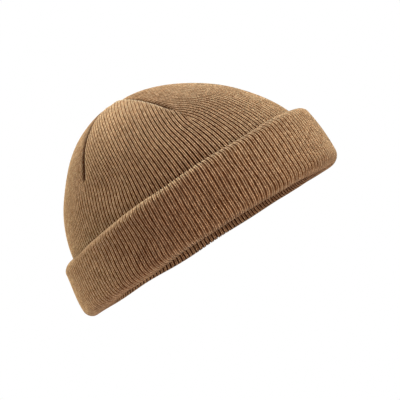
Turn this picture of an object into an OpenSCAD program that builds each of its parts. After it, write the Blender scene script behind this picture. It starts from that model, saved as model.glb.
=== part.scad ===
// Ribbed knit hat with a turned-up cuff: a double knit tube, closed at the top by four darts.
// Millimetres. +Z is up, the front of the hat is -Y, and the bottom of the hem rests on z = 0.
// Every ply is drawn in a half plane of mean radius and height, then spread over the oval of the head.

/* [Head opening] */
// inside length of the opening, front to back
head_length = 196; // [170:1:222]
// inside breadth of the opening, side to side
head_breadth = 157; // [136:1:178]

/* [Knit] */
// thickness of one ply of rib knit
ply = 2.4; // [1.8:0.1:3]
// air between the lining and the outer wall
ply_gap = 0.4; // [0.35:0.05:0.8]
// air between the end of a turn and the ply that it runs into
fold_gap = 0.3; // [0.3:0.05:0.6]
// air between a sewn seam and the ply that it lies on
seat_gap = 0.2; // [0.1:0.05:0.4]

/* [Crown] */
// height of the crown from the hem, before the darts draw its top in
crown_h = 118.2; // [104:0.2:134]
// height at which the straight wall turns into the dome
wall_h = 34.6; // [29:0.2:38]
// how far the dome's curve has drawn in at its lower control point
dome_draw = 2.6; // [0:0.1:5]
// height of the dome's lower control point above the wall
dome_rise = 31; // [24:0.5:38]
// mean radius of the dome's upper control point
shoulder_r = 48; // [38:0.5:58]
// how far the top leans to the back
crown_lean = 13.5; // [0:0.5:18]
// how much lower the lining hangs under the top of the outer crown
lining_drop = 6; // [5:0.2:8]

/* [Darts] */
// turn of the front dart about the head, from the front toward the left
dart_turn = -18.5; // [-30:0.5:30]
// how far every second dart is turned on from an even quarter
dart_skew = 15; // [-25:0.5:25]
// turn from an outer dart to the lining dart beside it
lining_shift = 45; // [30:1:60]
// height of a dart's lower end
dart_end_z = 80; // [70:1:94]
// how deep an outer dart is drawn in at its seam
dart_sink = 1.6; // [0.6:0.1:2]
// how deep a lining dart is drawn in at its seam
lining_sink = 1; // [0.4:0.1:1.4]
// width of a sewn dart edge
seam_w = 2.6; // [1.6:0.1:3.4]
// height of a sewn dart edge at the top of the hat
seam_h = 2.1; // [1.2:0.1:2.4]
// mean radius at which the sewn edges stop short of the top
seam_top_r = 6; // [5:0.5:9]
// radius of the knots of the tack that holds lining and crown together
tack_r = 2.6; // [1.6:0.1:3.2]

/* [Cuff] */
// height of the turned-up cuff at the front
cuff_front_h = 46; // [40:0.5:54]
// height of the turned-up cuff at the back
cuff_back_h = 39.5; // [35:0.5:50]
// air between the wall and the cuff's back ply
cuff_gap = 0.5; // [0.4:0.05:1]
// air between the cuff's two plies at the top fold
fold_air = 3.3; // [2:0.1:6]
// air between the cuff's two plies at the hem
hem_air = 5.5; // [3:0.1:8]
// depth of the flat on which the hem rests
hem_flat = 0.5; // [0.3:0.05:0.8]

/* [Hidden] */
petal_columns = 14;
segments = 4 * petal_columns;
dome_steps = 13;
fold_steps = 8;
turn_steps = 5;
hem_steps = 10;
face_steps = 5;
seam_steps = 9;
seam_sides = 6;

// oval of the head
r_in = (head_length + head_breadth) / 4;
oval_x = head_breadth / 2 / r_in;
oval_y = head_length / 2 / r_in;
// evens out the spacing of the columns along the oval, in degrees
even_turn = 90 / PI * (oval_y ^ 2 - oval_x ^ 2) / (oval_y ^ 2 + oval_x ^ 2) / 2;

// radii of the plies, from the head outward
r_lining = r_in + ply;
r_wall_in = r_lining + ply_gap;
r_wall = r_wall_in + ply;
r_back_in = r_wall + cuff_gap;
r_back = r_back_in + ply;
r_face_top = r_back + fold_air + ply;
r_face = r_back + hem_air + ply;

// turns of the knit
hem_r = (r_face - r_in) / 2;
hem_mid = (r_face + r_in) / 2;
hem_z = hem_r - hem_flat;
turn_r = (r_back - r_wall_in) / 2;
turn_mid = (r_back + r_wall_in) / 2;
turn_z = hem_z + fold_gap;
wall_z = turn_z + fold_gap;
fold_r = (r_face_top - r_back_in) / 2;
fold_mid = (r_face_top + r_back_in) / 2;
cuff_h = (cuff_front_h + cuff_back_h) / 2;
fold_z = cuff_h - fold_r;
cuff_rake = (cuff_front_h - cuff_h) / (cuff_h - turn_z) / (fold_mid * oval_y);

// control points of the dome's outer curve
dome = [
    [r_wall, wall_h],
    [r_wall - dome_draw, wall_h + dome_rise],
    [shoulder_r, crown_h],
    [0, crown_h]
];
lining_turn = dart_turn + lining_shift;
dart_end = on_curve(function (p) p[1] < dart_end_z);
seam_start = dart_end + 0.06;
seam_stop = on_curve(function (p) p[0] > seam_top_r);
tack_top = crown_h - ply - dart_sink - seat_gap;
tack_foot = crown_h - ply - lining_drop + lining_sink + seat_gap;

knit_brown = [0.53, 0.39, 0.27];
lining_brown = [0.48, 0.35, 0.24];
thread_brown = [0.42, 0.3, 0.2];

function smooth(a, b, v) =
    let (s = min(1, max(0, (v - a) / (b - a))))
    s * s * (3 - 2 * s);

function dart_at(quarter, first) = first + 90 * quarter + dart_skew * (quarter % 2);

// how far a column is from one dart to the next
function petal_share(i) = (i % petal_columns) / petal_columns;

function column(i, first = dart_turn) =
    let (
        quarter = floor(i / petal_columns),
        low = dart_at(quarter, first),
        high = dart_at(quarter + 1, first)
    )
    low + petal_share(i) * (high - low);

// angle on the oval for an even step along its edge
function spread(turn) = turn + even_turn * sin(2 * turn);

function lean(z) =
    z <= wall_h ? 0 : crown_lean * ((z - wall_h) / (crown_h - wall_h)) ^ 1.3;

// a point at a mean radius, height and turn
function on_crown(p, turn) =
    let (a = spread(turn))
    [p[0] * oval_x * sin(a), lean(p[1]) - p[0] * oval_y * cos(a), p[1]];

// the same for the cuff, which is higher at the front than at the back
function on_cuff(p, turn) =
    let (
        a = spread(turn),
        y = -p[0] * oval_y * cos(a),
        rise = max(0, p[1] - turn_z)
    )
    [p[0] * oval_x * sin(a), y, p[1] - rise * cuff_rake * y];

function curve(t) =
    (1 - t) ^ 3 * dome[0]
    + 3 * t * (1 - t) ^ 2 * dome[1]
    + 3 * t ^ 2 * (1 - t) * dome[2]
    + t ^ 3 * dome[3];

function curve_normal(t) =
    let (
        v = (1 - t) ^ 2 * (dome[1] - dome[0])
            + 2 * t * (1 - t) * (dome[2] - dome[1])
            + t ^ 2 * (dome[3] - dome[2])
    )
    [v[1], -v[0]] / norm(v);

// where on the curve, from 0 to 1, a test of its points stops being true
function on_curve(test, low = 0, high = 1, tries = 24) =
    let (mid = (low + high) / 2)
    tries == 0 ? mid
    : test(curve(mid)) ? on_curve(test, mid, high, tries - 1)
    : on_curve(test, low, mid, tries - 1);

// a point of the dome at a depth under its outer curve
function under(t, depth) = curve(t) - depth * curve_normal(t);

// how far a column lies in a dart's crease, 1 on the seam and at the top
function crease(t, share) =
    let (
        seam = (1 - sin(180 * share)) ^ 3,
        at_top = t ^ 30
    )
    smooth(dart_end, dart_end + 0.2, t) * (seam + (1 - seam) * at_top);

function crown_depth(t, share) = dart_sink * crease(t, share);

function lining_hang(t) =
    ply + ply_gap + (lining_drop - ply_gap) * smooth(0, min(1, dart_end + 0.3), t);

function lining_depth(t, share) =
    lining_hang(t) - lining_sink * crease(t, share);

// triangles between two rings of points
function band(a, b) = [
    for (i = [0 : segments - 1])
        let (j = (i + 1) % segments)
        each [
            [a * segments + i, b * segments + i, b * segments + j],
            [a * segments + i, b * segments + j, a * segments + j]
        ]
];

function arc(mid, z, r, from, to, steps) = [
    for (k = [0 : steps])
        let (a = from + (to - from) * k / steps)
        [mid + r * cos(a), z + r * sin(a)]
];

// a closed ring of knit from its section, counterclockwise in radius and height
module knit_ring(section) {
    count = len(section);
    polyhedron(
        points = [
            for (p = section)
                for (i = [0 : segments - 1])
                    on_cuff(p, column(i))
        ],
        faces = [
            for (k = [0 : count - 1])
                each band(k, (k + 1) % count)
        ]
    );
}

// a dome of knit with its first dart at a turn, and two surfaces given by their depth
module knit_dome(first, outer, inner, outer_foot, inner_foot, outer_top, inner_top) {
    steps = dome_steps - 1;
    rings = concat(
        [[for (i = [0 : segments - 1]) on_crown(outer_foot, column(i, first))]],
        [
            for (k = [0 : steps])
                let (t = k / dome_steps)
                [
                    for (i = [0 : segments - 1])
                        on_crown(under(t, outer(t, petal_share(i))), column(i, first))
                ]
        ],
        [
            for (k = [steps : -1 : 0])
                let (t = k / dome_steps)
                [
                    for (i = [0 : segments - 1])
                        on_crown(under(t, inner(t, petal_share(i))), column(i, first))
                ]
        ],
        [[for (i = [0 : segments - 1]) on_crown(inner_foot, column(i, first))]]
    );
    count = len(rings);
    half = count / 2;
    top = count * segments;
    polyhedron(
        points = concat(
            [for (ring = rings) each ring],
            [on_crown([0, outer_top], 0), on_crown([0, inner_top], 0)]
        ),
        faces = concat(
            [for (k = [0 : half - 2]) each band(k, k + 1)],
            [
                for (i = [0 : segments - 1])
                    [(half - 1) * segments + i, top, (half - 1) * segments + (i + 1) % segments]
            ],
            [
                for (i = [0 : segments - 1])
                    [top + 1, half * segments + i, half * segments + (i + 1) % segments]
            ],
            [for (k = [half : count - 2]) each band(k, k + 1)],
            band(count - 1, 0)
        )
    );
}

// the sewn edge of a dart, which runs along its seam between crown and lining
module dart_edge(turn, depth, side) {
    a = spread(turn);
    across = [oval_x * cos(a), oval_y * sin(a), 0];
    along = across / norm(across);
    points = [
        for (k = [0 : seam_steps])
            let (
                t = seam_start + (seam_stop - seam_start) * k / seam_steps,
                h = seam_h * (0.35 + 0.65 * smooth(seam_start, seam_start + 0.25, t)),
                mid = depth(t) + side * (seat_gap + h / 2)
            )
            for (s = [0 : seam_sides - 1])
                let (b = 360 * (s + 0.5) / seam_sides)
                on_crown(under(t, mid - h / 2 * cos(b) / cos(180 / seam_sides)), turn)
                    + seam_w / 2 * sin(b) * along
    ];
    sides = seam_sides;
    last = seam_steps * sides;
    polyhedron(
        points = points,
        faces = concat(
            [
                for (k = [0 : seam_steps - 1])
                    for (i = [0 : sides - 1])
                        let (j = (i + 1) % sides)
                        each [
                            [k * sides + i, (k + 1) * sides + i, (k + 1) * sides + j],
                            [k * sides + i, (k + 1) * sides + j, k * sides + j]
                        ]
            ],
            [for (i = [1 : sides - 2]) [0, i, i + 1]],
            [for (i = [1 : sides - 2]) [last, last + i + 1, last + i]]
        )
    );
}

module outer_dart(quarter) {
    color(thread_brown)
        dart_edge(
            dart_at(quarter, dart_turn),
            function (t) ply + crown_depth(t, 0),
            1
        );
}

module lining_dart(quarter) {
    color(thread_brown)
        dart_edge(
            dart_at(quarter, lining_turn),
            function (t) lining_depth(t, 0),
            -1
        );
}

// outer crown: straight wall and dome, drawn in along its four darts
module outer_crown() {
    color(knit_brown)
        knit_dome(
            dart_turn,
            function (t, share) crown_depth(t, share),
            function (t, share) crown_depth(t, share) + ply,
            [r_wall, wall_z],
            [r_wall_in, wall_z],
            crown_h - dart_sink,
            crown_h - dart_sink - ply
        );
}

// lining: the inner end of the same tube, against the head
module crown_lining() {
    color(lining_brown)
        knit_dome(
            lining_turn,
            function (t, share) lining_depth(t, share),
            function (t, share) lining_depth(t, share) + ply,
            [r_lining, turn_z],
            [r_in, turn_z],
            crown_h - ply - lining_drop + lining_sink,
            crown_h - 2 * ply - lining_drop + lining_sink
        );
}

module outer_dart_front() outer_dart(0);
module outer_dart_left() outer_dart(1);
module outer_dart_back() outer_dart(2);
module outer_dart_right() outer_dart(3);
module lining_dart_front_left() lining_dart(0);
module lining_dart_back_left() lining_dart(1);
module lining_dart_back_right() lining_dart(2);
module lining_dart_front_right() lining_dart(3);

// thread tack between the tops of crown and lining
module apex_tack() {
    mid = (tack_top + tack_foot) / 2;
    color(thread_brown)
        translate([0, lean(mid), 0])
            rotate_extrude()
                polygon([
                    [0, tack_foot],
                    [tack_r, tack_foot],
                    [tack_r * 0.6, mid],
                    [tack_r, tack_top],
                    [0, tack_top]
                ]);
}

// cuff, outside ply, which draws in a little toward the fold
module cuff_face() {
    function radius(s) = r_face - (r_face - r_face_top) * s ^ 1.6;
    outer = [
        for (k = [0 : face_steps])
            let (s = k / face_steps)
            [radius(s), hem_z + (fold_z - hem_z) * s]
    ];
    inner = [
        for (k = [face_steps : -1 : 0])
            let (s = k / face_steps)
            [radius(s) - ply, hem_z + (fold_z - hem_z) * s]
    ];
    color(knit_brown)
        knit_ring(concat(outer, inner));
}

// top edge of the cuff, where the ply folds over
module cuff_fold() {
    color(knit_brown)
        knit_ring(concat(
            arc(fold_mid, fold_z, fold_r, 0, 180, fold_steps),
            arc(fold_mid, fold_z, fold_r - ply, 180, 0, fold_steps)
        ));
}

// cuff, back ply, which slides on the wall
module cuff_back() {
    color(knit_brown)
        knit_ring([
            [r_back_in, turn_z],
            [r_back, turn_z],
            [r_back, fold_z],
            [r_back_in, fold_z]
        ]);
}

// hem: the lining ply turned up into the cuff's face, flat where it rests
module hem_turn() {
    outer = [
        for (p = arc(hem_mid, hem_z, hem_r, 180, 360, hem_steps))
            [p[0], max(0, p[1])]
    ];
    color(knit_brown)
        knit_ring(concat(
            outer,
            arc(hem_mid, hem_z, hem_r - ply, 360, 180, hem_steps)
        ));
}

// inner hem: the wall ply turned up into the cuff's back
module inner_hem_turn() {
    color(lining_brown)
        knit_ring(concat(
            arc(turn_mid, turn_z, turn_r, 180, 360, turn_steps),
            arc(turn_mid, turn_z, turn_r - ply, 360, 180, turn_steps)
        ));
}

outer_crown();
crown_lining();
outer_dart_front();
outer_dart_left();
outer_dart_back();
outer_dart_right();
lining_dart_front_left();
lining_dart_back_left();
lining_dart_back_right();
lining_dart_front_right();
apex_tack();
cuff_face();
cuff_fold();
cuff_back();
hem_turn();
inner_hem_turn();
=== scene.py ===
"""A ribbed knit hat with a turned-up cuff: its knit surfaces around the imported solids. Metres."""

import math

import bmesh
import bpy
import numpy as np
from mathutils import Matrix, Vector


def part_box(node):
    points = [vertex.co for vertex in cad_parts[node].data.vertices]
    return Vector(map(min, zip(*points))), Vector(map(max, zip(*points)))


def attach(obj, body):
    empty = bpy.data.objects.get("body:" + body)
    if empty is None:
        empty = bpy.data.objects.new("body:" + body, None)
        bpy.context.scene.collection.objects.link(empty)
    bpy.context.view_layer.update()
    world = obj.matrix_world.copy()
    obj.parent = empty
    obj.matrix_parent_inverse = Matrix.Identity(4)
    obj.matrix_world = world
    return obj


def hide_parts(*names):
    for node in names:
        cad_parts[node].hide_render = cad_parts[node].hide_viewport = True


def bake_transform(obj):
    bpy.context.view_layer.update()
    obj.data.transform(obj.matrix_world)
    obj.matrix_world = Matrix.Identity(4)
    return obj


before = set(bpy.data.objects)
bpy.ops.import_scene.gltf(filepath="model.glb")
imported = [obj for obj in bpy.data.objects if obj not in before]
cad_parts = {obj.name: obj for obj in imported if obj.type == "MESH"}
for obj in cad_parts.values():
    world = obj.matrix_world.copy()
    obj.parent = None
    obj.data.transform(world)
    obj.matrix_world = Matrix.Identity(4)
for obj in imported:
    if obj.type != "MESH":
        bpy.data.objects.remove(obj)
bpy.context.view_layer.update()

MM = 0.001


def ring_half(node):
    """Half breadth and half length of a ring of knit, from its widest point."""
    low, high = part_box(node)
    return high.x, -low.y


def ring_radius(node):
    return sum(ring_half(node)) / 2


# Plies, from the frame
PLY = 2.4 * MM
PLY_GAP = 0.4 * MM
FOLD_GAP = 0.3 * MM
R_WALL = ring_radius("outer_crown")
R_IN = ring_radius("crown_lining") - PLY
R_FACE = ring_radius("cuff_face")
R_FACE_TOP = ring_radius("cuff_fold")
R_BACK_IN = ring_radius("cuff_back") - PLY
OVAL_X, OVAL_Y = (half / R_WALL for half in ring_half("outer_crown"))
OVAL_GIRTH = math.sqrt((OVAL_X**2 + OVAL_Y**2) / 2)
OVAL_EVEN = (OVAL_Y**2 - OVAL_X**2) / (OVAL_Y**2 + OVAL_X**2) / 4

# Crown
WALL_TOP = 34.6 * MM
CROWN_TOP = 118.2 * MM
DOME_DRAW = 2.6 * MM
DOME_RISE = 31 * MM
SHOULDER_R = 48 * MM
CROWN_LEAN = 13.5 * MM
LEAN_POWER = 1.3
LINING_DROP = 6 * MM
LINING_HANG = 0.3
LIFT_RUN = 25 * MM
DOME = np.array([
    [R_WALL, WALL_TOP],
    [R_WALL - DOME_DRAW, WALL_TOP + DOME_RISE],
    [SHOULDER_R, CROWN_TOP],
    [0, CROWN_TOP],
])
DOME_STEPS = 1600
REACH_STEPS = 1199
CROWN_ROWS = (30, 37)
LINING_ROWS = (30, 30)
CROWN_SEED = 21
LINING_SEED = 22

# Softness of the crown
SOFT_HEIGHT = 0.3 * MM
SOFT_RUN = 20 * MM
SET_SHIFT = 1.4 * MM
SET_TURN = math.radians(49)
SET_FADE = (75 * MM, 110 * MM)
DENT_DEPTH = 2.0 * MM
DENT_TURN = math.radians(-73)
DENT_WIDTH = math.radians(10)
DENT_WAY = 62 * MM
BULGE_HEIGHT = 1.6 * MM
BULGE_TURN = math.radians(-100)
BULGE_WIDTH = math.radians(10)
BULGE_WAY = 68 * MM
SLACK_HEIGHT = 13 * MM
HOLLOW_DEPTH = 2.0 * MM
HOLLOW_AT = (5 * MM, 7 * MM)
HOLLOW_WIDTH = 12 * MM

# Darts. Four values stand for the front, left, back and right dart, or for the petal after each
DART_TURN = math.radians(-18.5)
LINING_SHIFT = math.radians(45)
PETAL_SPANS = np.radians((105, 75, 105, 75))
PETAL_RIBS = (54, 38, 54, 38)
PETAL_OVER = (0, 1, 0, 1)
DART_TIP_Z = 80 * MM
FLOW_Z = 71 * MM
FLOW_EASE = 12 * MM
TWIST = 1.4 * MM
TWIST_FROM = 46 * MM
TWIST_TO = 85 * MM
CREASE_STARTS = np.array((2, -3, -1, -3)) * MM
CREASE_ENDS = np.array((18, 8, 12, 5)) * MM
CLOSE_RUN = 8 * MM
CREASE_DEPTH = 2.0 * MM
CREASE_WIDTH = 1.8 * MM
CREASE_FOOT = 0.5
# Painted shade: the seam creases and the knit beside them are darkened in the colour
CREASE_SHADES = np.array((1.3, 2.0, 1.8, 3.6)) * MM
SHADE_FOOT = 0.35
SHADE_OVER = 0.5
BESIDE_SHADES = np.array((0.1, 0.3, 0.2, 0.4))
BESIDE_WIDTH = 8 * MM
DIP_DEPTH = 1.2 * MM
DIP_WIDTH = 8 * MM
DIP_OVER = 0.4
SEAM_CLOSE = 1.6 * MM
LIP_HEIGHTS = np.array((0.5, 0.8, 0.8, 0.2)) * MM
# Painted highlight on each dart's lips
LIP_HIGHLIGHTS = np.array((1, 1, 1, 0.3))
LIP_AT = 2.6 * MM
LIP_WIDTH = 1.5 * MM
LIP_UNDER = 0.2
# Painted highlight on a band of the wide petals just above the darts' feet
BAND_HIGHLIGHT = 0.3
BAND_FROM = (-4 * MM, 10 * MM)
BAND_TO = (26 * MM, 42 * MM)

# Cuff
HEM_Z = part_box("hem_turn")[1].z
HEM_R = (R_FACE - R_IN) / 2
HEM_MID = (R_FACE + R_IN) / 2
HEM_SQUARENESS = 2.1
INNER_SQUARENESS = 4.5
TURN_Z = HEM_Z + FOLD_GAP
WALL_FOOT = TURN_Z + FOLD_GAP
FOLD_R = (R_FACE_TOP - R_BACK_IN) / 2
FOLD_MID = (R_FACE_TOP + R_BACK_IN) / 2
CUFF_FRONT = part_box("cuff_fold")[1].z
CUFF_BACK = 39.5 * MM
CUFF_TOP = (CUFF_FRONT + CUFF_BACK) / 2
FOLD_RISE = 5.5 * MM
FOLD_Z = CUFF_TOP - FOLD_RISE
CUFF_RAKE = (CUFF_FRONT - CUFF_TOP) / (CUFF_TOP - TURN_Z) / (FOLD_MID * OVAL_Y)
FACE_POWER = 2.0
FOLD_LEAN = 0.8
FOLD_SQUARENESS = 1.8
HEM_LIFT = 1.5 * MM
FOLD_DROP = 0.7 * MM
RIB_SLANT = 0.6 * MM
HEM_DEEPER = 0.5
# Painted shade in the grooves inside the hem; painted highlights on the top fold and the hem's rim
HEM_SHADE = 0.8
FOLD_HIGHLIGHT = 0.55
FOLD_DEEPER = 0.6
RIM_HIGHLIGHT = 0.6
RIM_AT = 0.68
RIM_WIDTH = 0.11
INNER_EDGE = (0.45, 0.65)
GROOVE_SHADE_EDGE = (0.1, 0.35)
FOLD_POWER = 4
HEM_STEPS = 24
FACE_STEPS = 18
FOLD_STEPS = 14
BACK_STEPS = 5
CUFF_SOFT = 0.35 * MM
CUFF_SET = 0.8 * MM
CUFF_WANDER = 0.2 * MM
CUFF_SEED = 23

# Knit
RIBS = sum(PETAL_RIBS)
STITCH_ROW = 1.9 * MM
CUFF_GROOVE = 0.28
CROWN_GROOVE = 0.3
GROOVE_WIDTH = 0.13
MIDLINE_WIDTH = 0.09
CUFF_MIDLINE = 0.14
CROWN_MIDLINE = 0.13
GROOVE_CHANGE = 0.22
GROOVE_RUN = (18 * MM, 45 * MM)
RIB_CUTS = (0, 0.09, 0.22, 0.36, 0.5, 0.64, 0.78, 0.91)
LINING_CUTS = (0, 0.15, 0.5, 0.85)
WELD = 4e-6
TINY = 1e-6

# Camera
VIEW_TURN = math.radians(-41)
VIEW_RISE = math.radians(-2.25)
VIEW_ROLL = math.radians(32.29)
VIEW_DISTANCE = 1.94
VIEW_LENS = 253
VIEW_SENSOR = 36
AIM_ACROSS = 6.8 * MM
AIM_Z = 28.3 * MM
LIGHT_AIM_Z = 60 * MM


def smooth(low, high, value):
    share = np.clip((value - low) / (high - low), 0, 1)
    return share * share * (3 - 2 * share)


def soft_waves(seed, arounds, alongs):
    """A gentle seeded unevenness of about unit height, by the turn and by a length along."""
    draw = np.random.default_rng(seed)
    phases = draw.uniform(0, 2 * math.pi, len(arounds))
    scale = math.sqrt(2 / len(arounds))

    def height(turn, along):
        return scale * sum(
            np.sin(around * turn + 2 * math.pi * along / length + phase)
            for around, length, phase in zip(arounds, alongs, phases)
        )

    return height


# Places on the hat


def spread(turn):
    """Angle on the oval for an even step along its edge."""
    return turn + OVAL_EVEN * np.sin(2 * turn)


def lean(z):
    share = np.clip((z - WALL_TOP) / (CROWN_TOP - WALL_TOP), 0, None)
    return CROWN_LEAN * share**LEAN_POWER


def hem_lift(turn):
    """How far the hem bows up, on the side of the view and opposite to it."""
    return HEM_LIFT * np.cos(turn - VIEW_TURN) ** 2


def cuff_bow(turn, z):
    """How far the soft cuff bows from its level: the hem up, and the ends of the fold down."""
    top = smooth(HEM_Z, FOLD_Z, z)
    return hem_lift(turn) * (1 - top) - FOLD_DROP * np.sin(turn - VIEW_TURN) ** 2 * top


def on_crown(r, z, turn):
    a = spread(turn)
    return np.stack([r * OVAL_X * np.sin(a), lean(z) - r * OVAL_Y * np.cos(a), z], axis=-1)


def on_cuff(r, z, turn):
    a = spread(turn)
    y = -r * OVAL_Y * np.cos(a)
    rise = np.clip(z - TURN_Z, 0, None)
    level = z - rise * CUFF_RAKE * y + cuff_bow(turn, z)
    return np.stack([r * OVAL_X * np.sin(a), y, level], axis=-1)


def normals(surface, along, turn):
    """Outward unit normals of a surface that is given by a way along its section and a turn."""
    step = 0.05 * MM
    swing = 1e-3
    up = surface(along + step, turn) - surface(along - step, turn)
    across = surface(along, turn + swing) - surface(along, turn - swing)
    out = np.cross(across, up)
    return out / np.linalg.norm(out, axis=-1, keepdims=True)


class Section:
    """A line of mean radius and height, measured by the way along it."""

    def __init__(self, points):
        self.points = np.asarray(points, float)
        steps = np.linalg.norm(np.diff(self.points, axis=0), axis=1)
        self.ways = np.concatenate([[0], np.cumsum(steps)])
        self.length = self.ways[-1]

    def at(self, way):
        r = np.interp(way, self.ways, self.points[:, 0])
        z = np.interp(way, self.ways, self.points[:, 1])
        return np.maximum(r, TINY), z

    def girth(self, way):
        return 2 * math.pi * OVAL_GIRTH * self.at(way)[0]

    def area(self):
        middle = (self.ways[1:] + self.ways[:-1]) / 2
        return float(np.sum(self.girth(middle) * np.diff(self.ways)))


# Relief of the knit


def rib_relief(rib, way, pitch, groove_depth, midline, seed):
    """Depth under the rib tops: deep grooves between the ribs and a fine line down each rib."""
    share = rib - np.floor(rib)
    to_groove = np.minimum(share, 1 - share)
    to_middle = np.abs(share - 0.5)
    draw = np.random.default_rng(seed)
    lengths = draw.uniform(*GROOVE_RUN, RIBS)
    phases = draw.uniform(0, 2 * math.pi, RIBS)
    groove = np.round(rib).astype(int) % RIBS
    change = 1 + GROOVE_CHANGE * np.sin(2 * math.pi * way / lengths[groove] + phases[groove])
    deep = groove_depth * change * np.exp(-((to_groove / GROOVE_WIDTH) ** 2))
    fine = midline * np.exp(-((to_middle / MIDLINE_WIDTH) ** 2))
    return pitch * (deep + fine)


def rib_columns(first, count, cuts):
    """Rib numbers of the columns of points across some ribs, closed at both ends."""
    starts = first + np.arange(count)[:, None]
    return np.append((starts + np.array(cuts)).ravel(), first + count)


def knit_mesh(name, grids, inside=False):
    """One welded mesh from grids of points, each with its rib and row counts and its shade.

    The shade is painted into the colour: 1 is full painted shade, in the dark of a seam or a groove
    inside the hem, and -1 a painted highlight, on a pale lip, fold, rim or a band of the wide petals.
    """
    points, marks, seams, faces = [], [], [], []
    start = 0
    for grid, counts, seam in grids:
        rows, columns = grid.shape[:2]
        index = start + np.arange(rows * columns).reshape(rows, columns)
        corners = [index[:-1, :-1], index[:-1, 1:], index[1:, 1:], index[1:, :-1]]
        if inside:
            corners.reverse()
        faces.append(np.stack(corners, axis=-1).reshape(-1, 4))
        points.append(grid.reshape(-1, 3))
        marks.append(counts.reshape(-1, 2))
        seams.append(seam.ravel())
        start += rows * columns
    points = np.concatenate(points)
    marks = np.concatenate(marks)
    faces = np.concatenate(faces)

    mesh = bpy.data.meshes.new(name)
    mesh.vertices.add(len(points))
    mesh.vertices.foreach_set("co", points.ravel())
    mesh.loops.add(faces.size)
    mesh.loops.foreach_set("vertex_index", faces.ravel())
    mesh.polygons.add(len(faces))
    mesh.polygons.foreach_set("loop_start", np.arange(0, faces.size, 4))
    mesh.uv_layers.new(name="knit").data.foreach_set("uv", marks[faces.ravel()].ravel())
    # The seam attribute carries painted shade (above 0) and painted highlights (below 0) to the
    # material
    mesh.attributes.new("seam", "FLOAT", "POINT").data.foreach_set("value", np.concatenate(seams))
    mesh.update(calc_edges=True)
    mesh.validate()

    welded = bmesh.new()
    welded.from_mesh(mesh)
    bmesh.ops.remove_doubles(welded, verts=welded.verts, dist=WELD)
    welded.to_mesh(mesh)
    welded.free()
    mesh.polygons.foreach_set("use_smooth", np.ones(len(mesh.polygons), bool))

    piece = bpy.data.objects.new(name, mesh)
    bpy.context.scene.collection.objects.link(piece)
    return piece


# Crown and lining


def dome_point(t):
    t = t[:, None]
    return (
        (1 - t) ** 3 * DOME[0]
        + 3 * t * (1 - t) ** 2 * DOME[1]
        + 3 * t**2 * (1 - t) * DOME[2]
        + t**3 * DOME[3]
    )


def dome_normal(t):
    t = t[:, None]
    slope = (
        (1 - t) ** 2 * (DOME[1] - DOME[0])
        + 2 * t * (1 - t) * (DOME[2] - DOME[1])
        + t**2 * (DOME[3] - DOME[2])
    )
    out = np.stack([slope[:, 1], -slope[:, 0]], axis=-1)
    return out / np.linalg.norm(out, axis=1, keepdims=True)


class Crown:
    """A dome of rib knit on a straight wall, with the level at which its darts begin."""

    FINE = np.linspace(0, 1, DOME_STEPS + 1)
    TIP, FLOW = np.interp((DART_TIP_Z, FLOW_Z), dome_point(FINE)[:, 1], FINE)

    def __init__(self, foot_z, depth, first_dart, seed, side, softness):
        dome = dome_point(self.FINE) - depth(self.FINE)[:, None] * dome_normal(self.FINE)
        foot = [[dome[0, 0], foot_z]]
        self.section = Section(np.concatenate([foot, dome]))
        self.tip, self.flow = np.interp((self.TIP, self.FLOW), self.FINE, self.section.ways[1:])
        self.first_dart = first_dart
        self.seed = seed
        self.side = side
        self.softness = softness

    def surface(self, way, turn):
        """Places on the crown: turned a little at its foot, so that the ribs lean up to the seams."""
        r, z = self.section.at(way)
        under = 1 - np.clip((z - TWIST_FROM) / (TWIST_TO - TWIST_FROM), 0, 1)
        return on_crown(r, z, turn - TWIST / R_WALL * under**2)

    def hollow(self, points):
        """A soft hollow beside the top, where the knit sinks behind the front seam."""
        across = points[..., 0] - HOLLOW_AT[0]
        along = points[..., 1] - HOLLOW_AT[1]
        top = smooth(DART_TIP_Z, CROWN_TOP, points[..., 2])
        return HOLLOW_DEPTH * top * np.exp(-(across**2 + along**2) / HOLLOW_WIDTH**2)

    def petals(self, cuts, lower_rows, upper_rows):
        starts = np.cumsum((self.first_dart, *PETAL_SPANS))
        ribs = np.cumsum((0, *PETAL_RIBS))
        count = len(PETAL_RIBS)
        darts = [(first, (first + 1) % count) for first in range(count)]
        petals = zip(starts, PETAL_SPANS, ribs, PETAL_RIBS, darts, PETAL_OVER)
        return [Petal(self, *petal).grid(cuts, lower_rows, upper_rows) for petal in petals]


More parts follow.
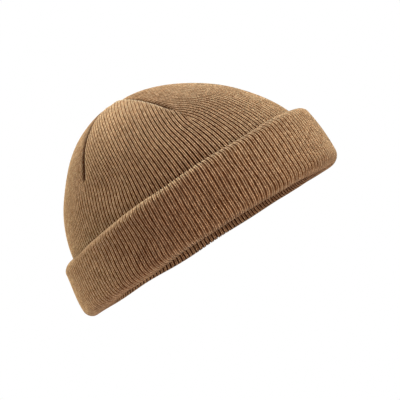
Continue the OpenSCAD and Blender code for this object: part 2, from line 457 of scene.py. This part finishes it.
class Petal:
    """The knit between two darts: its ribs narrow with the wall, then run on to the seams.

    A petal with over set to 1 lies over its neighbours at the seams.
    """

    def __init__(self, crown, start, span, first_rib, ribs, darts, over):
        self.crown = crown
        self.darts = darts
        self.over = over
        self.middle = start + span / 2
        self.span = span
        self.first_rib = first_rib
        self.ribs = ribs
        step = 1 * MM
        flow = crown.flow
        self.flow_pitch = self.width(flow) / ribs
        self.flow_slope = (self.width(flow + step) - self.width(flow - step)) / (2 * step) / ribs
        self.upper = np.linspace(flow, crown.section.length, REACH_STEPS + 1)
        self.upper_reach = self.reach(self.upper)

    def width(self, way):
        return self.crown.section.girth(way) * self.span / (2 * math.pi)

    def pitch(self, way):
        past = np.clip(way - self.crown.flow, 0, None)
        beside = self.flow_pitch + self.flow_slope * FLOW_EASE * (1 - np.exp(-past / FLOW_EASE))
        return np.where(way < self.crown.flow, self.width(way) / self.ribs, beside)

    def reach(self, way):
        """Ribs from the middle of the petal to its seam."""
        return self.width(way) / 2 / self.pitch(way)

    def ways(self, ribs, lower_rows, upper_rows):
        """Ways up each column: to the level where the ribs run straight, then on to the seam."""
        flow = self.crown.flow
        ends = np.interp(np.abs(ribs), self.upper_reach[::-1], self.upper[::-1])
        low = np.linspace(0, flow, lower_rows, endpoint=False)[:, None]
        share = np.linspace(0, 1, upper_rows)[:, None]
        return np.concatenate([np.repeat(low, len(ribs), axis=1), flow + share * (ends - flow)])

    def grid(self, cuts, lower_rows, upper_rows):
        """Points of the petal, their rib and row counts, and their painted shade and highlight."""
        half = self.ribs / 2
        ribs = rib_columns(-half, self.ribs, cuts)
        ways = self.ways(ribs, lower_rows, upper_rows)
        ribs = np.broadcast_to(ribs, ways.shape)
        share = np.clip(ribs / np.maximum(self.reach(ways), TINY), -1, 1)
        share[-1] = np.sign(ribs[-1])
        turn = self.middle + share * self.span / 2
        count = ribs + half + self.first_rib

        aside = np.clip(self.reach(ways) - np.abs(ribs), 0, None) * self.pitch(ways)
        dart = np.where(ribs < 0, *self.darts)
        past = ways - self.crown.tip
        sewn = smooth(CREASE_STARTS[dart], CREASE_ENDS[dart], past)
        closed = smooth(0, CLOSE_RUN, past)
        over = self.over
        crease_width = CREASE_WIDTH * (CREASE_FOOT + (1 - CREASE_FOOT) * sewn)
        crease = sewn * np.exp(-((aside / crease_width) ** 2))
        broad = sewn * np.exp(-((aside / DIP_WIDTH) ** 2)) * (DIP_OVER if over else 1)
        pitch = self.pitch(ways)
        relief = rib_relief(count, ways, pitch, CROWN_GROOVE, CROWN_MIDLINE, self.crown.seed)
        relief = relief * (1 - closed * (1 - smooth(0, SEAM_CLOSE, aside)))
        surface = self.crown.surface(ways, turn)
        dip = np.maximum(DIP_DEPTH * broad, self.crown.hollow(surface))
        lip = sewn * np.exp(-(((aside - LIP_AT) / LIP_WIDTH) ** 2)) * (1 if over else LIP_UNDER)
        depth = self.crown.side * relief + CREASE_DEPTH * crease + dip - LIP_HEIGHTS[dart] * lip
        depth = depth - self.crown.softness(turn, ways)
        points = surface - depth[..., None] * normals(self.crown.surface, ways, turn)

        # Painted shade along each seam's crease, and beside it on the petal that lies under
        line = CREASE_SHADES[dart] * (SHADE_FOOT + (1 - SHADE_FOOT) * sewn)
        line = line * (SHADE_OVER if over else 1)
        shadow = BESIDE_SHADES[dart] * np.exp(-((aside / BESIDE_WIDTH) ** 2)) * (1 - over)
        dark = sewn * np.maximum(np.exp(-((aside / line) ** 2)), shadow)
        # Painted highlights: on the lips, and on a band of the wide petals just above the darts' feet
        painted_light_share = (1 - over) * smooth(*BAND_FROM, past) * (1 - smooth(*BAND_TO, past))
        pale = LIP_HIGHLIGHTS[dart] * lip + BAND_HIGHLIGHT * painted_light_share * (1 - dark) ** 2
        marks = np.stack([count, ways / STITCH_ROW], axis=-1)
        return points, marks, dark - pale


crown_waves = soft_waves(seed=11, arounds=(2, 3, 5, 7, 4), alongs=(0.09, 0.07, 0.05, 0.06, 0.11))


def crown_softness(turn, way):
    """Slack of the soft crown: gentle waves, a set to the left, and a dent beside a bulge."""
    def rise(middle, width, level):
        swing = (turn - middle + math.pi) % (2 * math.pi) - math.pi
        return np.exp(-((swing / width) ** 2) - ((way - level) / SLACK_HEIGHT) ** 2)

    bulge = BULGE_HEIGHT * rise(BULGE_TURN, BULGE_WIDTH, BULGE_WAY)
    slack = bulge - DENT_DEPTH * rise(DENT_TURN, DENT_WIDTH, DENT_WAY)
    free = smooth(0, SOFT_RUN, way)
    leaning = SET_SHIFT * np.cos(turn - SET_TURN) * free * (1 - smooth(*SET_FADE, way))
    return SOFT_HEIGHT * crown_waves(turn, way) * free + leaning + slack


def no_softness(turn, way):
    return np.zeros_like(way)


def no_depth(t):
    return np.zeros_like(t)


def lining_depth(t):
    """Depth of the lining's inner face under the outer crown: it hangs lower toward the top."""
    hang = smooth(0, min(1, Crown.TIP + LINING_HANG), t)
    return 2 * PLY + PLY_GAP + (LINING_DROP - PLY_GAP) * hang


def make_crown():
    crown = Crown(WALL_FOOT, no_depth, DART_TURN, CROWN_SEED, 1, crown_softness)
    return knit_mesh("crown_knit", crown.petals(RIB_CUTS, *CROWN_ROWS)), crown.section


def make_lining():
    first_dart = DART_TURN + LINING_SHIFT
    lining = Crown(HEM_Z, lining_depth, first_dart, LINING_SEED, -1, no_softness)
    petals = lining.petals(LINING_CUTS, *LINING_ROWS)
    for points, _, _ in petals:
        turn = np.arctan2(points[..., 0] / OVAL_X, -points[..., 1] / OVAL_Y)
        low = 1 - smooth(HEM_Z, HEM_Z + LIFT_RUN, points[..., 2])
        points[..., 2] += hem_lift(turn) * low
    return knit_mesh("lining_knit", petals, inside=True), lining.section


# Cuff


def cuff_section():
    """The cuff's section: round the hem, up the face, over the top fold and down its back."""
    roll = np.linspace(math.pi, 2 * math.pi, HEM_STEPS + 1)
    power = 2 / np.where(roll < 1.5 * math.pi, INNER_SQUARENESS, HEM_SQUARENESS)
    hem_r = HEM_MID + HEM_R * np.sign(np.cos(roll)) * np.abs(np.cos(roll)) ** power
    hem_z = np.maximum(HEM_Z - HEM_R * np.abs(np.sin(roll)) ** power, 0)
    up = np.linspace(0, 1, FACE_STEPS + 1)[1:]
    face_r = R_FACE - (R_FACE - R_FACE_TOP) * up**FACE_POWER
    face_z = HEM_Z + (FOLD_Z - HEM_Z) * up
    over = np.linspace(0, math.pi, FOLD_STEPS + 1)[1:]
    crest = FOLD_MID - FOLD_LEAN * FOLD_R
    aside = np.sign(np.cos(over)) * np.abs(np.cos(over)) ** (2 / FOLD_SQUARENESS)
    fold_r = crest + aside * np.where(over < math.pi / 2, R_FACE_TOP - crest, crest - R_BACK_IN)
    fold_z = FOLD_Z + FOLD_RISE * np.sin(over) ** (2 / FOLD_SQUARENESS)
    back_z = np.linspace(FOLD_Z, TURN_Z, BACK_STEPS + 1)[1:]
    back_r = np.full_like(back_z, R_BACK_IN)
    r = np.concatenate([hem_r, face_r, fold_r, back_r])
    z = np.concatenate([hem_z, face_z, fold_z, back_z])
    return np.stack([r, z], axis=-1)


cuff_waves = soft_waves(seed=31, arounds=(3, 5, 8, 11, 2), alongs=(0.08, 0.06, 0.05, 0.09, 0.07))
wander_waves = soft_waves(seed=32, arounds=(4, 9, 17, 26), alongs=(0.05, 0.03, 0.04, 0.025))


def make_cuff():
    section = Section(cuff_section())
    ribs = rib_columns(0, RIBS, RIB_CUTS)
    ways = np.repeat(section.ways[:, None], len(ribs), axis=1)
    ribs = np.broadcast_to(ribs, ways.shape)
    hem_end = section.ways[HEM_STEPS]
    face_end = section.ways[HEM_STEPS + FACE_STEPS]
    fold_top = section.ways[HEM_STEPS + FACE_STEPS + FOLD_STEPS // 2]
    fold_end = section.ways[HEM_STEPS + FACE_STEPS + FOLD_STEPS]
    drop = 1 - smooth(hem_end, face_end, ways)
    turn = DART_TURN + ribs * 2 * math.pi / RIBS
    turn = turn + (CUFF_WANDER * wander_waves(turn, ways) - RIB_SLANT * drop) / R_FACE

    def surface(way, angle):
        r, z = section.at(way)
        return on_cuff(r, z, angle)

    pitch = section.girth(ways) / RIBS
    upper = smooth(hem_end, face_end, ways) * (1 - smooth(face_end, fold_end, ways))
    inner = 1 - smooth(*INNER_EDGE, ways / hem_end)
    face_middle = (hem_end + face_end) / 2
    folded = smooth(face_middle, fold_top, ways) ** FOLD_POWER
    folded = folded * (1 - smooth(fold_top, fold_end, ways))
    relief = rib_relief(ribs, ways, pitch, CUFF_GROOVE, CUFF_MIDLINE, CUFF_SEED)
    relief = relief * (1 + HEM_DEEPER * inner + FOLD_DEEPER * folded)
    depth = relief - CUFF_SOFT * cuff_waves(turn, ways)
    depth = depth - CUFF_SET * np.cos(turn - SET_TURN) * upper
    grid = surface(ways, turn) - depth[..., None] * normals(surface, ways, turn)
    marks = np.stack([ribs, ways / STITCH_ROW], axis=-1)
    # Painted shade in the grooves inside the hem; painted highlights on the top fold and on the rim
    # of the hem
    to_groove = np.abs(ribs - np.round(ribs))
    rim = np.exp(-(((ways / hem_end - RIM_AT) / RIM_WIDTH) ** 2))
    groove_shade = inner * (1 - smooth(*GROOVE_SHADE_EDGE, to_groove))
    shade = HEM_SHADE * groove_shade - FOLD_HIGHLIGHT * folded - RIM_HIGHLIGHT * rim
    return knit_mesh("cuff_knit", [(grid, marks, shade)]), section


# Materials


class Shade:
    """Short calls for the nodes of one material."""

    def __init__(self, name):
        self.material = bpy.data.materials.new(name)
        self.material.use_nodes = True
        self.tree = self.material.node_tree
        self.shader = self.tree.nodes["Principled BSDF"]

    def node(self, kind, **settings):
        made = self.tree.nodes.new(kind)
        for key, value in settings.items():
            setattr(made, key, value)
        return made

    def feed(self, socket, value):
        if isinstance(value, bpy.types.NodeSocket):
            self.tree.links.new(value, socket)
        else:
            socket.default_value = value

    def math(self, operation, *values):
        made = self.node("ShaderNodeMath", operation=operation)
        for socket, value in zip(made.inputs, values):
            self.feed(socket, value)
        return made.outputs[0]

    def apart(self, value, middle):
        return self.math("ABSOLUTE", self.math("SUBTRACT", value, middle))

    def ramp(self, value, low, high, to_low=0.0, to_high=1.0):
        made = self.node("ShaderNodeMapRange", interpolation_type="SMOOTHSTEP")
        names = ("Value", "From Min", "From Max", "To Min", "To Max")
        for name, item in zip(names, (value, low, high, to_low, to_high)):
            self.feed(made.inputs[name], item)
        return made.outputs["Result"]

    def mix(self, share, a, b):
        made = self.node("ShaderNodeMix", data_type="RGBA")
        self.feed(made.inputs["Factor"], share)
        self.feed(made.inputs["A"], a)
        self.feed(made.inputs["B"], b)
        return made.outputs["Result"]

    def noise(self, place, scale, detail, roughness=0.5):
        made = self.node("ShaderNodeTexNoise")
        self.feed(made.inputs["Vector"], place)
        made.inputs["Scale"].default_value = scale
        made.inputs["Detail"].default_value = detail
        made.inputs["Roughness"].default_value = roughness
        return made.outputs["Fac"]

    def bump(self, height, distance, strength):
        made = self.node("ShaderNodeBump")
        self.feed(made.inputs["Height"], height)
        made.inputs["Distance"].default_value = distance
        made.inputs["Strength"].default_value = strength
        return made.outputs["Normal"]


def colour(red, green, blue):
    """The linear values of a colour that is given as it looks on a screen, 0 to 255."""
    def linear(value):
        share = value / 255
        return share / 12.92 if share <= 0.04045 else ((share + 0.055) / 1.055) ** 2.4
    return linear(red), linear(green), linear(blue), 1.0


YARN = colour(190, 130, 76)
# Colour of painted shade on the grooves' flanks
YARN_FLANK_SHADE = colour(140, 84, 30)
# Tone of random pale fibres and mottle, and colour of painted highlights
YARN_PALE = colour(238, 209, 168)
# Colour of painted shade in grooves, creases and the hem, and the darker tone of random stitches,
# clouds and thread
YARN_SHADOW = colour(56, 20, 0)
YARN_SHEEN = colour(244, 232, 206)
THREAD = colour(122, 92, 66)
FLOOR = colour(158, 158, 158)
FLOOR_FADE = (0.25, 0.7)

# Looks of the knit. Places across a rib run from 0 at its middle to 0.5 in the groove
# Painted shade in the grooves between the ribs and on their flanks
GROOVE_EDGE = (0.23, 0.37)
FLANK_EDGE = (0.16, 0.33)
FLANK_SHADE = 0.5
# Painted shade down the middle of each rib, where its two strands meet
MIDDLE_EDGE = (0.15, 0.03)
# Painted highlight along the middle of each strand
STRAND_AT = 0.19
STRAND_HALF = 0.13
STRAND_HIGHLIGHT = 0.62
STITCH_SLANT = 2.4
STITCH_GAP = (0.22, 0.5)
STITCH_DARK = 0.4
# Painted shade in the gaps between the stitches
GAP_SHADE = 0.36
FIBRE_EDGE = (0.42, 0.72)
FIBRE_PALE = 0.6
MOTTLE_EDGE = (0.3, 0.7)
MOTTLE_PALE = 0.45
CLOUD_EDGE = (0.35, 0.7)
CLOUD_DARK = 0.1
BREAK_EDGE = (0.34, 0.66)
BREAK_LEFT = 0.76
# Share of the painted groove and rib-middle shade left at the top of the crown
TOP_LEFT = 0.25
# Painted shade (above 0) and painted highlights (below 0) from the seam attribute, and how much
# groove shade is cleared near them
SEAM_FULL = 0.8
PAINTED_SHADE_MIX = 0.9
HIGHLIGHT_MIX = 0.7
SEAM_CLEAR = 0.9
SEAM_RIBS = 0.5
FIBRE_BUMP = 0.5
GAP_BUMP = 0.7
MIDDLE_BUMP = 0.6


def knit_material(name, between, midline):
    """Rib knit: two slanted strands of stitches to a rib, mottled yarn, fibres and painted shade in
    the grooves.

    How much painted shade the knit gets between the ribs and down their middle is given for each
    piece.
    """
    shade = Shade(name)
    stitches = shade.node("ShaderNodeUVMap", uv_map="knit").outputs["UV"]
    place = shade.node("ShaderNodeTexCoord").outputs["Object"]
    split = shade.node("ShaderNodeSeparateXYZ")
    shade.feed(split.inputs[0], stitches)
    rib, row = split.outputs["X"], split.outputs["Y"]
    where = shade.node("ShaderNodeSeparateXYZ")
    shade.feed(where.inputs[0], place)
    # Share of the painted shade in the grooves and down the ribs: less of it toward the top of the
    # crown
    painted_light_share = shade.ramp(where.outputs["Z"], DART_TIP_Z, CROWN_TOP, 1.0, TOP_LEFT)

    off = shade.apart(shade.math("FRACT", rib), 0.5)
    # Painted shade in the grooves between the ribs and on their flanks
    groove = shade.ramp(off, *GROOVE_EDGE, 0.0, between)
    flank = shade.ramp(off, *FLANK_EDGE, 0.0, FLANK_SHADE * between)
    middle = shade.ramp(off, *MIDDLE_EDGE)
    strand = shade.ramp(shade.apart(off, STRAND_AT), STRAND_HALF, 0.0)
    # The seam attribute holds painted shade (above 0) and painted highlights (below 0) from the
    # meshes
    seam = shade.node("ShaderNodeAttribute", attribute_name="seam").outputs["Fac"]
    plain = shade.ramp(shade.math("ABSOLUTE", seam), 0.0, SEAM_CLEAR, 1.0, SEAM_RIBS)
    slant = shade.math("SUBTRACT", row, shade.math("MULTIPLY", off, STITCH_SLANT))
    gap = shade.ramp(shade.apart(shade.math("FRACT", slant), 0.5), *STITCH_GAP)

    leg = shade.node("ShaderNodeCombineXYZ")
    shade.feed(leg.inputs[0], shade.math("FLOOR", shade.math("MULTIPLY", rib, 2.0)))
    shade.feed(leg.inputs[1], shade.math("FLOOR", slant))
    each = shade.node("ShaderNodeTexWhiteNoise", noise_dimensions="2D")
    shade.feed(each.inputs["Vector"], leg.outputs[0])

    fibre = shade.noise(place, scale=1100.0, detail=3.0, roughness=0.65)
    mottle = shade.noise(place, scale=330.0, detail=4.0, roughness=0.65)
    cloud = shade.noise(place, scale=28.0, detail=3.0)

    tone = shade.mix(shade.ramp(mottle, *MOTTLE_EDGE, 0.0, MOTTLE_PALE), YARN, YARN_PALE)
    # Painted highlight along the middle of each strand
    tone = shade.mix(shade.math("MULTIPLY", strand, STRAND_HIGHLIGHT), tone, YARN_PALE)
    tone = shade.mix(shade.ramp(fibre, *FIBRE_EDGE, 0.0, FIBRE_PALE), tone, YARN_PALE)
    # Painted highlights on the lips, the fold, the hem's rim and a band of the wide petals
    tone = shade.mix(shade.ramp(seam, 0.0, -1.0, 0.0, HIGHLIGHT_MIX), tone, YARN_PALE)
    stitch = shade.ramp(each.outputs["Value"], 0.0, 1.0, STITCH_DARK, 0.0)
    tone = shade.mix(stitch, tone, YARN_SHADOW)
    tone = shade.mix(shade.ramp(cloud, *CLOUD_EDGE, CLOUD_DARK, 0.0), tone, YARN_SHADOW)
    # Painted shade in the gaps between the stitches
    tone = shade.mix(shade.math("MULTIPLY", gap, GAP_SHADE), tone, YARN_SHADOW)
    # Painted shade down the middle of each rib, where its two strands meet
    line = shade.math("MULTIPLY", middle, shade.math("MULTIPLY", painted_light_share, midline))
    tone = shade.mix(line, tone, YARN_SHADOW)
    # Painted shade in the grooves and on their flanks, broken by the mottle, less on seam marks and
    # toward the top
    broken = shade.math("MULTIPLY", plain, shade.ramp(mottle, *BREAK_EDGE, 1.0, BREAK_LEFT))
    broken = shade.math("MULTIPLY", broken, painted_light_share)
    tone = shade.mix(shade.math("MULTIPLY", flank, broken), tone, YARN_FLANK_SHADE)
    tone = shade.mix(shade.math("MULTIPLY", groove, broken), tone, YARN_SHADOW)
    # Painted shade in and beside the seams and in the grooves inside the hem
    tone = shade.mix(shade.ramp(seam, 0.0, SEAM_FULL, 0.0, PAINTED_SHADE_MIX), tone, YARN_SHADOW)

    height = shade.math("MULTIPLY", fibre, FIBRE_BUMP)
    height = shade.math("SUBTRACT", height, shade.math("MULTIPLY", gap, GAP_BUMP))
    height = shade.math("SUBTRACT", height, shade.math("MULTIPLY", middle, MIDDLE_BUMP))
    shade.feed(shade.shader.inputs["Base Color"], tone)
    bump = shade.bump(height, distance=0.25 * MM, strength=0.6)
    shade.feed(shade.shader.inputs["Normal"], bump)
    shade.shader.inputs["Roughness"].default_value = 0.92
    shade.shader.inputs["Specular IOR Level"].default_value = 0.05
    shade.shader.inputs["Sheen Weight"].default_value = 0.3
    shade.shader.inputs["Sheen Roughness"].default_value = 0.4
    shade.shader.inputs["Sheen Tint"].default_value = YARN_SHEEN
    return shade.material


def thread_material(name):
    """Overlocked thread: close slanted turns along the seam."""
    shade = Shade(name)
    place = shade.node("ShaderNodeTexCoord").outputs["Object"]
    turns = shade.node("ShaderNodeTexWave", wave_type="BANDS", bands_direction="DIAGONAL")
    shade.feed(turns.inputs["Vector"], place)
    turns.inputs["Scale"].default_value = 260.0
    turns.inputs["Distortion"].default_value = 2.0
    fibre = shade.noise(place, scale=2200.0, detail=3.0)
    tone = shade.mix(turns.outputs["Fac"], YARN_SHADOW, THREAD)
    tone = shade.mix(shade.ramp(fibre, low=0.4, high=0.7, to_high=0.4), tone, YARN_SHADOW)
    shade.feed(shade.shader.inputs["Base Color"], tone)
    bump = shade.bump(turns.outputs["Fac"], distance=0.3 * MM, strength=0.7)
    shade.feed(shade.shader.inputs["Normal"], bump)
    shade.shader.inputs["Roughness"].default_value = 0.8
    return shade.material


# Stage


def make_floor():
    """A plain pale floor round the hat, which fades out to white.

    The view is from under its level, so it is clear from below and shuts no light out.
    """
    mesh = bpy.data.meshes.new("floor")
    half = 1.0
    corners = [(-half, -half, 0), (half, -half, 0), (half, half, 0), (-half, half, 0)]
    mesh.from_pydata(corners, [], [(0, 1, 2, 3)])
    floor = bpy.data.objects.new("floor", mesh)
    bpy.context.scene.collection.objects.link(floor)
    shade = Shade("floor")
    shade.shader.inputs["Base Color"].default_value = FLOOR
    shade.shader.inputs["Roughness"].default_value = 0.9
    clear = shade.node("ShaderNodeBsdfTransparent")
    either = shade.node("ShaderNodeMixShader")
    under = shade.node("ShaderNodeNewGeometry").outputs["Backfacing"]
    path = shade.node("ShaderNodeLightPath").outputs
    passing = shade.math("MAXIMUM", path["Is Diffuse Ray"], path["Is Shadow Ray"])
    away = shade.node("ShaderNodeVectorMath", operation="LENGTH")
    shade.feed(away.inputs[0], shade.node("ShaderNodeTexCoord").outputs["Object"])
    open_floor = shade.ramp(away.outputs["Value"], *FLOOR_FADE)
    unseen = shade.math("MAXIMUM", under, passing)
    shade.feed(either.inputs[0], shade.math("MAXIMUM", unseen, open_floor))
    shade.feed(either.inputs[1], shade.shader.outputs[0])
    shade.feed(either.inputs[2], clear.outputs[0])
    shade.feed(shade.tree.nodes["Material Output"].inputs["Surface"], either.outputs[0])
    mesh.materials.append(shade.material)


def make_world(ambient):
    """White where it is seen, and a low even light where it lights the hat."""
    world = bpy.data.worlds.new("studio")
    bpy.context.scene.world = world
    world.use_nodes = True
    tree = world.node_tree
    back = tree.nodes["Background"]
    path = tree.nodes.new("ShaderNodeLightPath")
    seen = path.outputs["Is Camera Ray"]
    for name in ("Is Glossy Ray", "Is Transmission Ray"):
        either = tree.nodes.new("ShaderNodeMath")
        either.operation = "MAXIMUM"
        tree.links.new(seen, either.inputs[0])
        tree.links.new(path.outputs[name], either.inputs[1])
        seen = either.outputs[0]
    level = tree.nodes.new("ShaderNodeMapRange")
    level.inputs["To Min"].default_value = ambient
    level.inputs["To Max"].default_value = 1.0
    tree.links.new(seen, level.inputs["Value"])
    back.inputs["Color"].default_value = (1.0, 1.0, 1.0, 1.0)
    tree.links.new(level.outputs["Result"], back.inputs["Strength"])


view_right = Vector((math.cos(VIEW_TURN), math.sin(VIEW_TURN), 0))
view_back = Vector((
    math.sin(VIEW_TURN) * math.cos(VIEW_RISE),
    -math.cos(VIEW_TURN) * math.cos(VIEW_RISE),
    math.sin(VIEW_RISE),
))
view_up = view_back.cross(view_right)


def make_light(name, right, toward, up, size, power, tint):
    """A softbox aimed at the hat. Its place is given from the view: right, toward it and up."""
    lamp = bpy.data.lights.new(name, "AREA")
    lamp.shape = "RECTANGLE"
    lamp.size, lamp.size_y = size
    lamp.energy = power
    lamp.color = tint
    light = bpy.data.objects.new(name, lamp)
    bpy.context.scene.collection.objects.link(light)
    level_back = Vector((view_back.x, view_back.y, 0)).normalized()
    light.location = view_right * right + level_back * toward + Vector((0, 0, up))
    aim = Vector((0, 0, LIGHT_AIM_Z)) - light.location
    light.rotation_euler = aim.to_track_quat("-Z", "Y").to_euler()


def make_camera():
    data = bpy.data.cameras.new("camera")
    data.sensor_width = VIEW_SENSOR
    data.lens = VIEW_LENS
    camera = bpy.data.objects.new("camera", data)
    bpy.context.scene.collection.objects.link(camera)
    right = view_right * math.cos(VIEW_ROLL) - view_up * math.sin(VIEW_ROLL)
    up = view_right * math.sin(VIEW_ROLL) + view_up * math.cos(VIEW_ROLL)
    aim = view_right * AIM_ACROSS + Vector((0, 0, AIM_Z))
    axes = Matrix((right, up, view_back)).transposed().to_4x4()
    camera.matrix_world = Matrix.Translation(aim + view_back * VIEW_DISTANCE) @ axes
    bpy.context.scene.camera = camera


make_camera()
crown_knit, crown_line = make_crown()
lining_knit, lining_line = make_lining()
cuff_knit, cuff_line = make_cuff()

crown_knit.data.materials.append(knit_material("crown_knit", between=1.0, midline=0.8))
cuff_knit.data.materials.append(knit_material("cuff_knit", between=0.8, midline=0.78))
lining_knit.data.materials.append(knit_material("lining_knit", between=0.9, midline=0.5))
thread = thread_material("seam_thread")
for node_name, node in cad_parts.items():
    if "dart" in node_name or node_name == "apex_tack":
        node.data.materials.clear()
        node.data.materials.append(thread)

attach(crown_knit, "crown")
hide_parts("outer_crown")
crown_line.girth(0)
crown_line.area()
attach(cuff_knit, "cuff")
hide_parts("cuff_face", "cuff_fold", "cuff_back", "hem_turn", "inner_hem_turn")
cuff_line.area()
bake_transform(lining_knit)
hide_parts("crown_lining")
lining_line.girth(0)
lining_line.area()

make_floor()
COOL = (0.90, 1.07, 1.08)
PLAIN = (1.02, 1.05, 0.84)
WARM = (1.13, 0.93, 0.90)
make_world(ambient=0.02)
LIGHTS = (
    # name, right, toward, up, size, power, tint
    ("top_box", 0.25, -0.15, 0.95, (0.9, 0.9), 1.5, COOL),
    ("right_high_box", 0.75, 0.05, 0.75, (0.6, 0.6), 9.8, COOL),
    ("back_right_box", 0.55, -0.75, 0.60, (0.6, 0.6), 3.0, COOL),
    ("left_box", -0.80, -0.55, 0.45, (0.5, 0.8), 20.5, PLAIN),
    ("left_high_box", -0.75, 0.1, 0.75, (0.6, 0.6), 3.2, WARM),
    ("right_box", 0.85, 0.6, 0.50, (0.6, 0.8), 2.4, WARM),
    ("high_front_box", 0.6, 0.45, 0.90, (0.6, 0.6), 4.6, WARM),
    ("floor_right_box", 0.7, 0.5, -0.40, (0.8, 0.8), 1.8, PLAIN),
    ("floor_box", -0.1, 0.6, -0.60, (1.2, 1.2), 6.5, WARM),
)
for light in LIGHTS:
    make_light(*light)

bpy.context.scene.view_settings.view_transform = "Standard"
